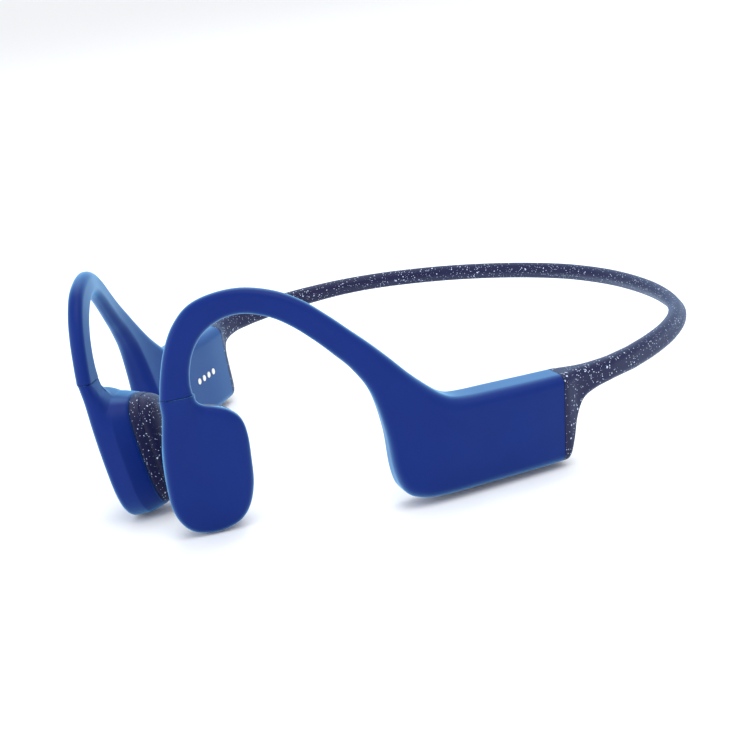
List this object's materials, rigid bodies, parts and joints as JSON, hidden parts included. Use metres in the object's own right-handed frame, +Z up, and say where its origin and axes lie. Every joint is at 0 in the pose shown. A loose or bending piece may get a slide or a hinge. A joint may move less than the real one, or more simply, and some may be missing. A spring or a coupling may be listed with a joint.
{
  "type": "bone conduction headphones",
  "caption": "Open-ear bone conduction headphones: a sprung neckband joins two electronics pods with over-ear hooks that hold a transducer in front of each ear.",
  "frame": {"origin": "middle of the bounding box at its base, the plane the headphones rest on", "axes": "+X to the wearer's left, -Y to the front, where the transducers are, +Z up"},
  "size_m": [0.1238, 0.1485, 0.0502],
  "materials": {
    "speckled_rubber": "soft navy silicone with fine pale flecks",
    "soft_skin": "satin soft-touch royal blue silicone",
    "spring_metal": "drawn memory-metal wire",
    "cable_jacket": "matt black cable jacket",
    "case_plastic": "fine-textured dark moulded plastic",
    "foil": "soft foil cell pouch",
    "foam": "closed-cell foam and thin seal",
    "board": "green solder mask",
    "chip": "moulded chip package",
    "switch_metal": "stamped sheet steel",
    "light_plastic": "clear light pipe, lightly frosted",
    "contact_metal": "pale plated contacts, lightly brushed",
    "magnet": "nickel-plated magnet",
    "copper": "enamelled copper winding"
  },
  "bodies": {
    "neckband": {"neckband_centre_sleeve": "speckled_rubber", "neckband_wire": "spring_metal", "neckband_cable": "cable_jacket"},
    "left_arm": {"left_neckband_sleeve": "speckled_rubber", "left_arm_skin": "soft_skin", "left_hook_wire": "spring_metal", "left_hook_lead": "cable_jacket", "left_pod_tray": "case_plastic", "left_pod_lid": "case_plastic", "left_transducer_housing": "soft_skin", "left_transducer_cover": "case_plastic", "left_contact_pad": "speckled_rubber", "left_voice_coil": "copper", "left_spring_plate": "switch_metal", "left_drive_bracket": "case_plastic", "battery": "foil", "battery_foam": "foam", "protection_board": "board"},
    "right_arm": {"right_neckband_sleeve": "speckled_rubber", "right_arm_skin": "soft_skin", "right_hook_wire": "spring_metal", "right_hook_lead": "cable_jacket", "right_pod_tray": "case_plastic", "right_pod_lid": "case_plastic", "right_transducer_housing": "soft_skin", "right_transducer_cover": "case_plastic", "right_contact_pad": "speckled_rubber", "right_voice_coil": "copper", "right_spring_plate": "switch_metal", "right_drive_bracket": "case_plastic", "main_board": "board", "board_chips": "chip", "key_switches": "switch_metal", "key_seal": "foam", "status_light_pipe": "light_plastic", "charging_pins": "contact_metal", "charging_pin_block": "case_plastic"},
    "left_motor": {"left_yoke": "switch_metal", "left_magnet": "magnet"},
    "right_motor": {"right_yoke": "switch_metal", "right_magnet": "magnet"},
    "volume_up": {"volume_up_key": "soft_skin"},
    "volume_down": {"volume_down_key": "soft_skin"},
    "mode": {"mode_key": "soft_skin"},
    "play": {"play_key": "soft_skin"}
  },
  "joints": [
    {"name": "left_flex", "type": "hinge", "parent": "neckband", "child": "left_arm", "pos_m": [0.026, 0.06566, 0.01688], "axis": [0, 0, 1], "range_deg": [0, 30], "stiffness_Nm_per_rad": 0.4, "deforming": ["neckband_wire", "neckband_cable"]},
    {"name": "right_flex", "type": "hinge", "parent": "neckband", "child": "right_arm", "pos_m": [-0.026, 0.06566, 0.01688], "axis": [0, 0, -1], "range_deg": [0, 30], "stiffness_Nm_per_rad": 0.4, "deforming": ["neckband_wire", "neckband_cable"]},
    {"name": "left_motor_slide", "type": "slide", "parent": "left_arm", "child": "left_motor", "axis": [0.8128, -0.5586, -0.165], "range_m": [-0.0002, 0.0002], "stiffness_N_per_m": 1000, "deforming": ["left_spring_plate"]},
    {"name": "right_motor_slide", "type": "slide", "parent": "right_arm", "child": "right_motor", "axis": [-0.8128, -0.5586, -0.165], "range_m": [-0.0002, 0.0002], "stiffness_N_per_m": 1000, "deforming": ["right_spring_plate"]},
    {"name": "volume_up_press", "type": "slide", "parent": "right_arm", "child": "volume_up", "axis": [-0.0642, -0.0274, 0.9976], "range_m": [0, 0.00035], "stiffness_N_per_m": 600, "deforming": ["key_seal"]},
    {"name": "volume_down_press", "type": "slide", "parent": "right_arm", "child": "volume_down", "axis": [-0.0642, -0.0274, 0.9976], "range_m": [0, 0.00035], "stiffness_N_per_m": 600, "deforming": ["key_seal"]},
    {"name": "mode_press", "type": "slide", "parent": "right_arm", "child": "mode", "axis": [-0.0642, -0.0274, 0.9976], "range_m": [0, 0.00035], "stiffness_N_per_m": 600, "deforming": ["key_seal"]},
    {"name": "play_press", "type": "slide", "parent": "right_arm", "child": "play", "axis": [-0.0642, -0.0274, 0.9976], "range_m": [0, 0.00035], "stiffness_N_per_m": 600, "deforming": ["key_seal"]}
  ]
}
